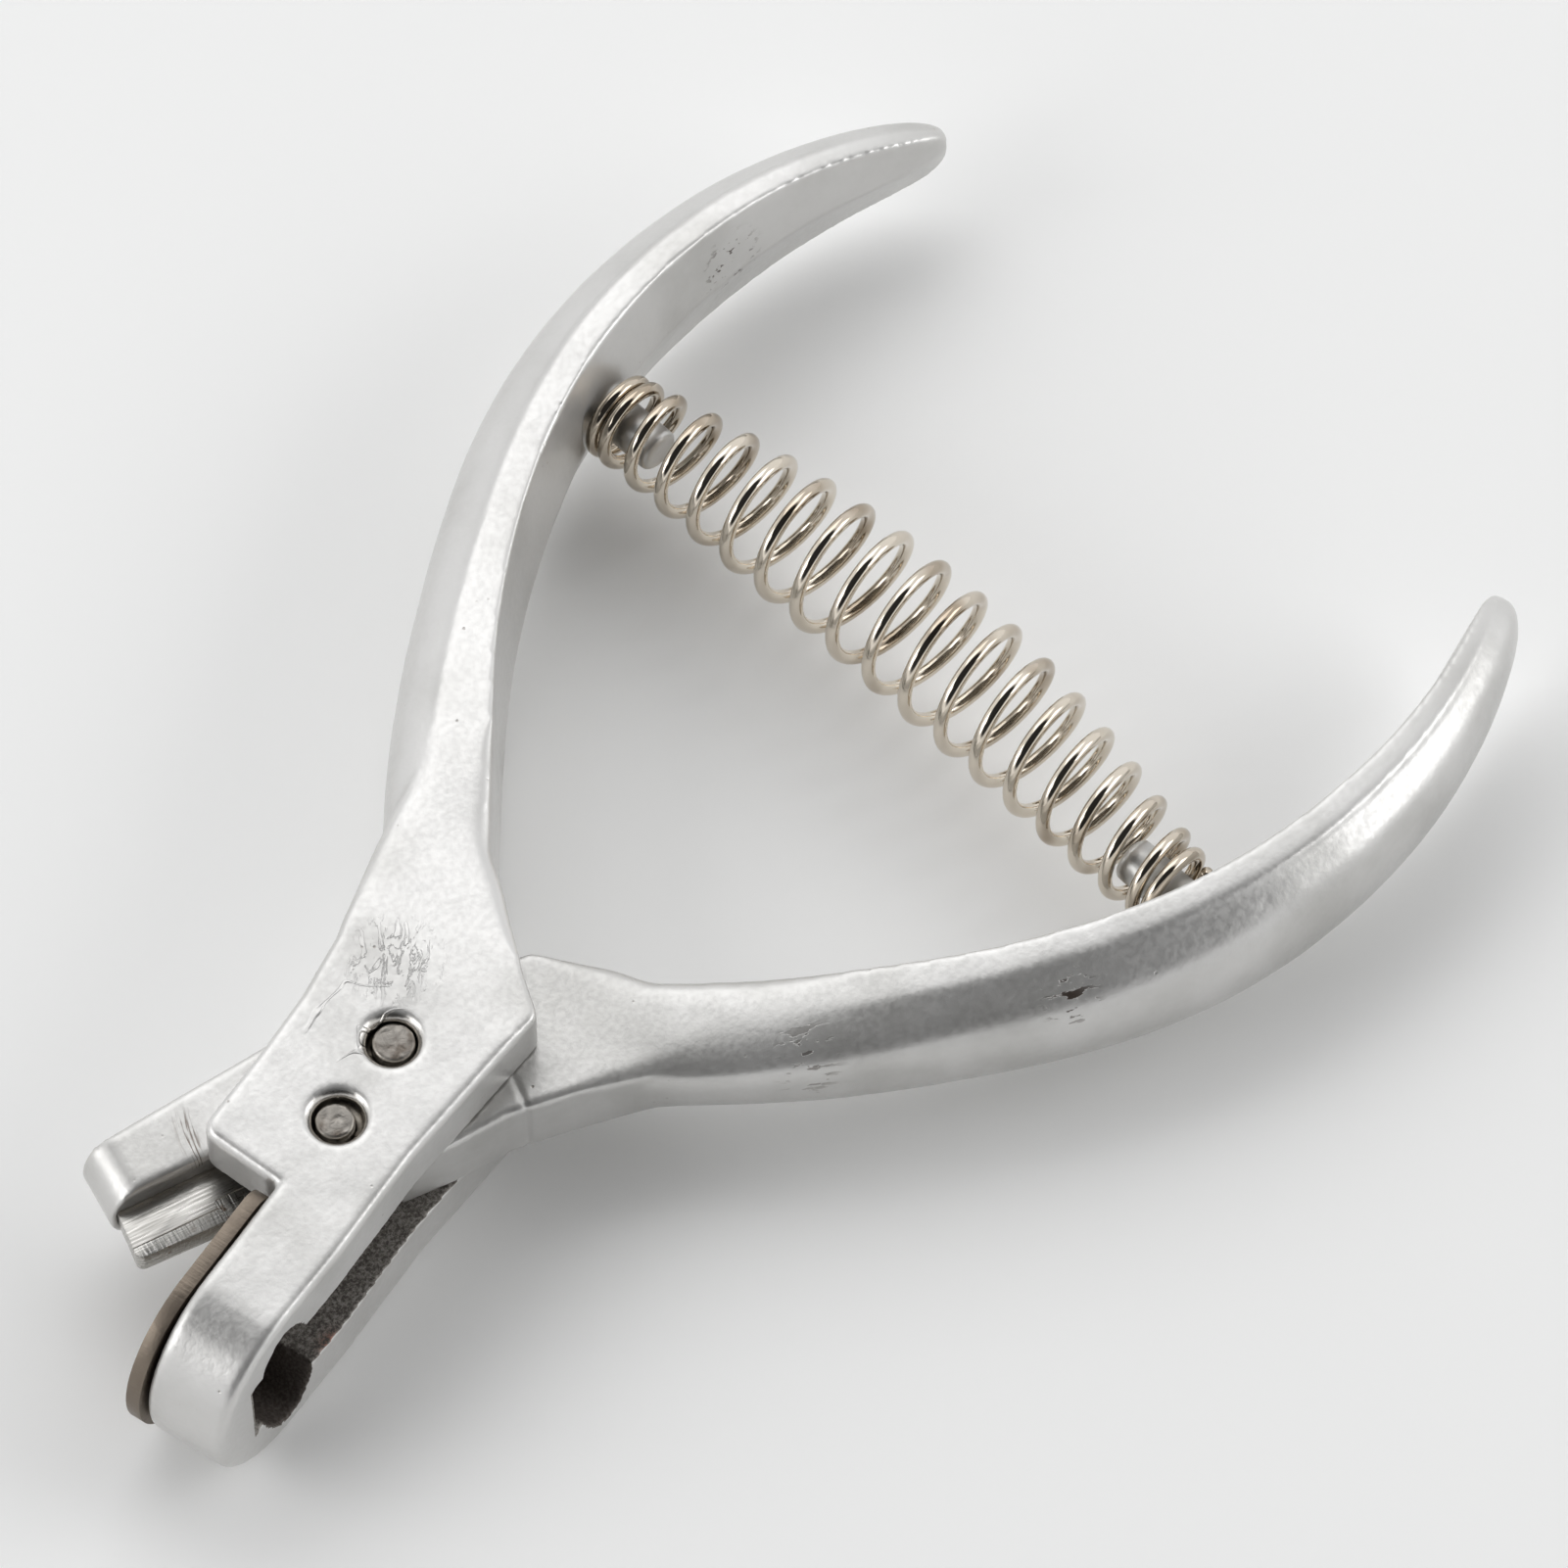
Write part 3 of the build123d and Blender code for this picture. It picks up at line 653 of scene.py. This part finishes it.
class SLOTPUNCH_OT_levers(Operator):
    """Rebuild the two cast levers with soft edges, uneven skin and bare metal inside the jaw"""
    bl_idname = "slotpunch.levers"
    bl_label = "Cast Levers"

    def execute(self, context):
        s = context.scene.slotpunch_casting
        lacquer = silver_lacquer(s)
        die = cast_copy("die_lever", "die_lever_casting", s, lacquer)
        self.finish_die_lever(die, s)
        punch = cast_copy("punch_lever", "punch_lever_casting", s, lacquer)
        self.finish_punch_lever(punch, s)
        for piece, node, body in ((die, "die_lever", DIE_BODY), (punch, "punch_lever", PUNCH_BODY)):
            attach(piece, body)
            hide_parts(node)
        return {"FINISHED"}

    def finish_die_lever(self, piece, s):
        """Bare metal in the slot, the waste outlet and the pin holes; rust on the slot's rim."""
        x, y, z = from_axis(points_of(piece.data))
        clear_of_slot = np.maximum(rise(abs(z), 5.4, 6.9), rise(np.hypot(x, y), 21.5, 23.5))
        at_root = beside(x, y, *DIE_ROOT)
        points, normals = melt_root(piece, at_root * clear_of_slot, s)

        x, y, z = from_axis(points)
        jaw = math.radians(DIE_JAW_DEG)
        run = x * math.cos(jaw) + y * math.sin(jaw)
        # From the pivot back the spine closes the top of the slot, and its underside climbs.
        under_spine = (x < -2.4) | (y < 9.4 + 0.5 * np.maximum(x - 3, 0))
        inside_spine = (np.hypot(x, y) < SPINE_R) | (x < 0)
        slot = (abs(z) < SLOT_HALF) & under_spine & (run < SLOT_RUN) & inside_spine
        oval = ((run - OUTLET_RUN) / OUTLET_LONG) ** 2 + ((z + OUTLET_DROP) / OUTLET_TALL) ** 2
        outlet = (oval < 1) & (x < 0)
        stop_lo, stop_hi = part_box("stop_pin")
        stop = ((stop_lo + stop_hi) / 2 - PIVOT) / MM
        bore = (np.hypot(x, y) < PIVOT_BORE_R) | (np.hypot(x - stop.x, y - stop.y) < STOP_BORE_R)
        from_sink = np.minimum(
            np.hypot(x - PIVOT_SINK[0], y - PIVOT_SINK[1]),
            np.hypot(x - stop.x - STOP_SINK[0], y - stop.y - STOP_SINK[1]),
        )
        bare = (slot | outlet | bore).astype(float)
        skin = wander(points, SKIN_WAVE, 1) * s.unevenness * (1 - bare)
        grit = (wander(points, 1.1 * MM, 2) + 0.6 * wander(points, 0.5 * MM, 3)) * s.grit * bare
        points += normals * (skin + grit)[:, None]
        set_points(piece.data, points)
        set_mask(piece.data, "bare", bare)
        set_mask(piece.data, "rusted", glow(x, y, z, RUST_SPOT) + 0.7 * glow(x, y, z, RUST_PATCH))
        set_mask(piece.data, "drilled", 1 - rise(from_sink, SINK_R - 0.3, SINK_R))
        # The outlet mask darkens its iron: painted shade.
        set_mask(piece.data, "deep", 0.75 * outlet)
        set_mask(piece.data, "rubbed", np.zeros(len(x)))

    def finish_punch_lever(self, piece, s):
        """Bare bore, rubbed arcs by the cheek's corner and a seam across the neck."""
        x, y, z = from_axis(points_of(piece.data))
        clear_of_cheeks = rise(np.hypot(x, y), 17, 20)
        at_root = beside(x, y, *PUNCH_ROOT)
        points, normals = melt_root(piece, at_root * clear_of_cheeks, s)

        x, y, z = from_axis(points)
        reach = np.hypot(x, y)
        turn = np.degrees(np.arctan2(y, x))
        start, end = np.array(NECK_SEAM)
        line = end - start
        share = np.clip(((x - start[0]) * line[0] + (y - start[1]) * line[1]) / (line @ line), 0, 1)
        apart = np.hypot(x - start[0] - share * line[0], y - start[1] - share * line[1])
        seam = np.exp(-(apart / SEAM_WIDTH) ** 2) * s.crease
        skin = wander(points, SKIN_WAVE, 4) * s.unevenness
        points += normals * (skin - seam)[:, None]
        set_points(piece.data, points)
        arcs = rise(reach, 20.5, 21.0) * (1 - rise(reach, 21.7, 22.9))
        arcs *= rise(turn, 146, 151) * (1 - rise(turn, 164, 166)) * (z > 3)
        set_mask(piece.data, "bare", (reach < PUNCH_BORE_R).astype(float))
        set_mask(piece.data, "rubbed", arcs)
        for mask in ("rusted", "drilled", "deep"):
            set_mask(piece.data, mask, np.zeros(len(x)))


class SLOTPUNCH_OT_cutting_parts(Operator):
    """Finish the punch blade and its pin, and the die plate and its rivets"""
    bl_idname = "slotpunch.cutting_parts"
    bl_label = "Blade and Die Plate"

    def execute(self, context):
        s = context.scene.slotpunch_steel
        blade_steel = ground_tool_steel(s)
        plate_steel = bare_plate_steel(s)
        pin_steel = cut_pin_steel(s)
        parts = (
            ("punch_blade", "punch_blade_ground", PUNCH_BODY, blade_steel, "blade_steel", 1.0),
            ("blade_retaining_pin", "blade_retaining_pin_peened", PUNCH_BODY, pin_steel, "pin_steel", 1.0),
            ("die_plate", "die_plate_blanked", DIE_BODY, plate_steel, "plate_steel", 0.9),
            ("die_plate_rivet_upper", "die_plate_rivet_upper_set", DIE_BODY, pin_steel, "pin_steel", 0.6),
            ("die_plate_rivet_lower", "die_plate_rivet_lower_set", DIE_BODY, pin_steel, "pin_steel", 0.6),
        )
        for node, name, body, steel, slot, share in parts:
            piece = steel_copy(node, name, s.soft_edge * share, steel)
            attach(piece, body)
            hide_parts(node)
        return {"FINISHED"}


class SLOTPUNCH_OT_pins(Operator):
    """Make the pivot pin and the stop pin with hammered, uneven ends"""
    bl_idname = "slotpunch.pins"
    bl_label = "Pivot and Stop Pins"

    RINGS = 12
    SIDES = 48
    ROLL = 0.86              # share of the radius where the rolled rim starts
    ROLL_DROP = 0.34 * MM
    DENT = 0.12 * MM
    OUT_OF_ROUND = 0.045

    def execute(self, context):
        steel = bpy.data.materials.get("sawn_steel_pin") or cut_pin_steel(context.scene.slotpunch_steel)
        for number, node in enumerate(("pivot_pin", "stop_pin")):
            piece = new_piece(f"{node}_hammered", self.pin_mesh(node, number), steel)
            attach(piece, DIE_BODY)
            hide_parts(node)
        return {"FINISHED"}

    def pin_mesh(self, node, seed):
        """A rod whose two ends are dished and dented inside a rolled rim."""
        low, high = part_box(node)
        centre = (low + high) / 2
        radius = (high.x - low.x) / 2
        half = (high.z - low.z) / 2
        shape = bmesh.new()
        rings = []
        for side in (1, -1):
            order = range(self.RINGS) if side > 0 else reversed(range(self.RINGS))
            for step in order:
                share = (step + 1) / self.RINGS
                rings.append([self.end_point(centre, radius, half, side, share, turn, seed)
                              for turn in range(self.SIDES)])
        rows = [[shape.verts.new(p) for p in ring] for ring in rings]
        for first, second in zip(rows, rows[1:]):
            for i in range(self.SIDES):
                j = (i + 1) % self.SIDES
                shape.faces.new((first[i], second[i], second[j], first[j]))
        shape.faces.new(rows[0])
        shape.faces.new(reversed(rows[-1]))
        bmesh.ops.recalc_face_normals(shape, faces=shape.faces)
        mesh = bpy.data.meshes.new(node)
        shape.to_mesh(mesh)
        shape.free()
        reach = np.hypot(*(points_of(mesh) - np.array(centre)).T[:2]) / radius
        set_mask(mesh, "rim", 1 - abs(reach - 0.95) / 0.05)
        mesh.shade_smooth()
        return mesh

    def end_point(self, centre, radius, half, side, share, turn, seed):
        """Point on an end of the rod, at a share of its radius."""
        a = 2 * math.pi * turn / self.SIDES
        out = Vector((math.cos(a), math.sin(a), 0))
        dent = noise.noise(out * share * 2.2 + Vector((seed * 5, side * 3, 0))) * self.DENT
        dip = abs(noise.noise(out * 1.6 + Vector((seed * 9, side, 4))))
        wobble = 1 - self.OUT_OF_ROUND * dip * (share > 0.8)
        rolled = max(0.0, share - self.ROLL) / (1 - self.ROLL)
        roll_out = self.ROLL + (1 - self.ROLL) * math.sin(rolled * math.pi / 2)
        reach = radius * (share if share < self.ROLL else roll_out) * wobble
        drop = self.ROLL_DROP * (1 - math.cos(rolled * math.pi / 2))
        level = half - drop + dent * (1 - rolled)
        return centre + out * reach + Vector((0, 0, side * min(level, half)))


class SLOTPUNCH_OT_spring(Operator):
    """Wind the barrel-shaped return spring between the two grips"""
    bl_idname = "slotpunch.spring"
    bl_label = "Return Spring"

    STEPS = 44               # steps in each turn
    SIDES = 20
    BELLY = 0.95             # under 1 the spring is fuller towards its ends
    # The wire is drawn darker and yellower towards both ends: where that starts, over how far, and by how
    # much.
    DARKER_FROM = 33        # millimetres from the spring's middle
    DARKER_OVER = 10
    TARNISH = 0.7

    def execute(self, context):
        s = context.scene.slotpunch_spring
        piece = new_piece("return_spring_wire", self.wire_mesh(s), bright_nickel(s))
        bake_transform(piece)
        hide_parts("return_spring")
        return {"FINISHED"}

    def centre_line(self, s):
        """Points along the left-hand wire from the punch grip to the die grip, each with its angle, and
        the middle of the spring's box."""
        low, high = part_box("return_spring")
        middle = (low + high) / 2
        first, last = low.y + s.wire, high.y - s.wire
        turns = s.open_turns + 2 * s.close_turns
        count = int(turns * self.STEPS)
        at = np.arange(count + 1) / self.STEPS
        from_end = np.minimum(at, turns - at)
        opened = np.clip((from_end - s.close_turns + 0.4) / 0.9, 0, 1)
        opened = opened * opened * (3 - 2 * opened)
        close_climb = s.close_pitch / self.STEPS
        spare = (last - first) - close_climb * count
        opened *= 0.55 + 0.45 * np.sin(math.pi * at / turns)
        climb = close_climb + opened * spare / opened[1:].sum()
        level = first + np.concatenate(([0], np.cumsum(climb[1:])))
        share = (level - first) / (last - first)
        belly = np.clip(np.sin(math.pi * share), 0, 1) ** self.BELLY
        radius = s.end_radius + (s.mid_radius - s.end_radius) * belly
        angle = -2 * math.pi * at
        lean = middle.x + s.bow * np.sin(math.pi * share)
        return [
            (Vector((x + r * math.cos(a), y, middle.z + r * math.sin(a))), a)
            for r, a, x, y in zip(radius, angle, lean, level)
        ], middle

    def wire_mesh(self, s):
        line, middle = self.centre_line(s)
        shape = bmesh.new()
        rows = []
        for i, (point, angle) in enumerate(line):
            ahead = line[min(i + 1, len(line) - 1)][0] - line[max(i - 1, 0)][0]
            tangent = ahead.normalized()
            out = Vector((math.cos(angle), 0, math.sin(angle)))
            side = tangent.cross(out).normalized()
            out = side.cross(tangent)
            edge = min(i, len(line) - 1 - i)
            size = s.wire * (0.86, 0.96)[edge] if edge < 2 else s.wire
            rows.append([
                shape.verts.new(point + (out * math.cos(t) + side * math.sin(t)) * size)
                for t in (2 * math.pi * k / self.SIDES for k in range(self.SIDES))
            ])
        for first, second in zip(rows, rows[1:]):
            for i in range(self.SIDES):
                j = (i + 1) % self.SIDES
                shape.faces.new((first[i], first[j], second[j], second[i]))
        shape.faces.new(reversed(rows[0]))
        shape.faces.new(rows[-1])
        bmesh.ops.recalc_face_normals(shape, faces=shape.faces)
        mesh = bpy.data.meshes.new("return_spring_wire")
        shape.to_mesh(mesh)
        shape.free()
        away = abs(points_of(mesh)[:, 1] - middle.y) / MM
        # Darker and yellower towards both ends of the spring.
        set_mask(mesh, "tarnished", (away - self.DARKER_FROM) / self.DARKER_OVER * self.TARNISH)
        mesh.shade_smooth()
        return mesh


def towards(heading, height):
    """Unit vector in a direction from +X, at an angle over the horizon."""
    level = math.cos(height)
    return Vector((math.cos(heading) * level, math.sin(heading) * level, math.sin(height)))


class SLOTPUNCH_OT_stage(Operator):
    """Set out the pale floor, the soft lights and the camera"""
    bl_idname = "slotpunch.stage"
    bl_label = "Stage"

    # Each softbox's heading and height in degrees, width, depth and distance in metres, and power.
    SOFTBOXES = (
        ("softbox_behind", 60, 50, 0.60, 0.50, 0.75, 1.1),
        ("softbox_left", 150, 32, 0.45, 0.35, 0.70, 1.2),
        ("softbox_right", -42, 30, 0.50, 0.30, 0.75, 1.2),
    )

    AIM = (56.16, 2.04, -11.0)       # what the camera looks at, in millimetres from the pivot
    DARK_OUTSIDE, DARK_INSIDE = 0.58, 0.74      # cosines of the dark sector's outer and inner angle
    SKY, DARK_SKY = 1.04, 0.03

    def execute(self, context):
        s = context.scene.slotpunch_stage
        self.make_floor(s)
        self.make_lights(context, s)
        self.make_camera(context, s)
        return {"FINISHED"}

    def make_floor(self, s):
        material, tree = new_material("matt_card")
        place = add(tree, "ShaderNodeTexCoord")
        fibre = add(
            tree, "ShaderNodeTexNoise", {"Vector": (place, "Object"), "Scale": per(0.8 * MM), "Detail": 3.0}
        )
        height = bump(tree, (fibre, 0), 0.01 * MM)
        shader = add(tree, "ShaderNodeBsdfPrincipled", {
            "Base Color": rgba(s.floor), "Roughness": 0.85, "Specular IOR Level": 0.2,
            "Normal": (height, 0),
        })
        add(tree, "ShaderNodeOutputMaterial", {"Surface": (shader, 0)})
        shape = bmesh.new()
        bmesh.ops.create_grid(shape, x_segments=1, y_segments=1, size=3.0)
        mesh = bpy.data.meshes.new("floor")
        shape.to_mesh(mesh)
        shape.free()
        floor = new_piece("floor", mesh, material)

    def make_lights(self, context, s):
        for name, heading, height, width, depth, distance, power in self.SOFTBOXES:
            data = bpy.data.lights.new(name, "AREA")
            data.shape = "RECTANGLE"
            data.size = width
            data.size_y = depth
            data.energy = power
            lamp = bpy.data.objects.new(name, data)
            context.scene.collection.objects.link(lamp)
            lamp.location = towards(math.radians(heading), math.radians(height)) * distance
            lamp.rotation_euler = (-lamp.location).to_track_quat("-Z", "Y").to_euler()
        world = bpy.data.worlds.new("studio")
        context.scene.world = world
        world.use_nodes = True
        tree = world.node_tree
        tree.nodes.clear()
        place = add(tree, "ShaderNodeTexCoord")
        # The studio is dark only where the camera stands.
        dark_side = towards(s.heading + math.pi, s.elevation)
        facing = add(
            tree, "ShaderNodeVectorMath", {0: (place, "Generated"), 1: dark_side}, operation="DOT_PRODUCT"
        )
        light = ramp(
            tree, (facing, "Value"), self.DARK_OUTSIDE, self.DARK_INSIDE, self.SKY, self.DARK_SKY
        )
        sky = add(tree, "ShaderNodeBackground", {"Color": (0.985, 0.99, 1.0, 1), "Strength": (light, 0)})
        add(tree, "ShaderNodeOutputWorld", {"Surface": (sky, 0)})
        context.scene.view_settings.view_transform = "Standard"

    def make_camera(self, context, s):
        data = bpy.data.cameras.new("camera")
        data.sensor_fit = "HORIZONTAL"
        data.angle = s.view_angle
        data.clip_start = 0.05
        data.clip_end = 10
        camera = bpy.data.objects.new("camera", data)
        context.scene.collection.objects.link(camera)
        target = PIVOT + Vector(self.AIM) * MM
        look = towards(s.heading, -s.elevation)
        camera.location = target - look * s.distance
        camera.rotation_euler = look.to_track_quat("-Z", "Y").to_euler()
        context.scene.camera = camera


class SLOTPUNCH_PT_panel(Panel):
    """Lists the pieces of the slot punch pliers"""
    bl_idname = "SLOTPUNCH_PT_panel"
    bl_label = "Slot Punch Pliers"
    bl_space_type = "VIEW_3D"
    bl_region_type = "UI"
    bl_category = "Slot Punch"

    def draw(self, context):
        for kind in OPERATORS:
            self.layout.operator(kind.bl_idname)
        for name in SETTINGS:
            settings = getattr(context.scene, name)
            box = self.layout.box()
            for prop in settings.bl_rna.properties:
                if prop.identifier not in ("name", "rna_type"):
                    box.prop(settings, prop.identifier)


OPERATORS = (
    SLOTPUNCH_OT_levers, SLOTPUNCH_OT_cutting_parts, SLOTPUNCH_OT_pins, SLOTPUNCH_OT_spring,
    SLOTPUNCH_OT_stage,
)
SETTINGS = {
    "slotpunch_casting": CastingSettings,
    "slotpunch_steel": SteelSettings,
    "slotpunch_spring": SpringSettings,
    "slotpunch_stage": StageSettings,
}


def register():
    for name, kind in SETTINGS.items():
        bpy.utils.register_class(kind)
        setattr(bpy.types.Scene, name, PointerProperty(type=kind))
    for kind in (*OPERATORS, SLOTPUNCH_PT_panel):
        bpy.utils.register_class(kind)


def unregister():
    for kind in reversed((*OPERATORS, SLOTPUNCH_PT_panel)):
        bpy.utils.unregister_class(kind)
    for name, kind in SETTINGS.items():
        delattr(bpy.types.Scene, name)
        bpy.utils.unregister_class(kind)


def main():
    register()
    bpy.ops.slotpunch.levers()
    bpy.ops.slotpunch.cutting_parts()
    bpy.ops.slotpunch.pins()
    bpy.ops.slotpunch.spring()
    bpy.ops.slotpunch.stage()


if __name__ == "__main__":
    main()
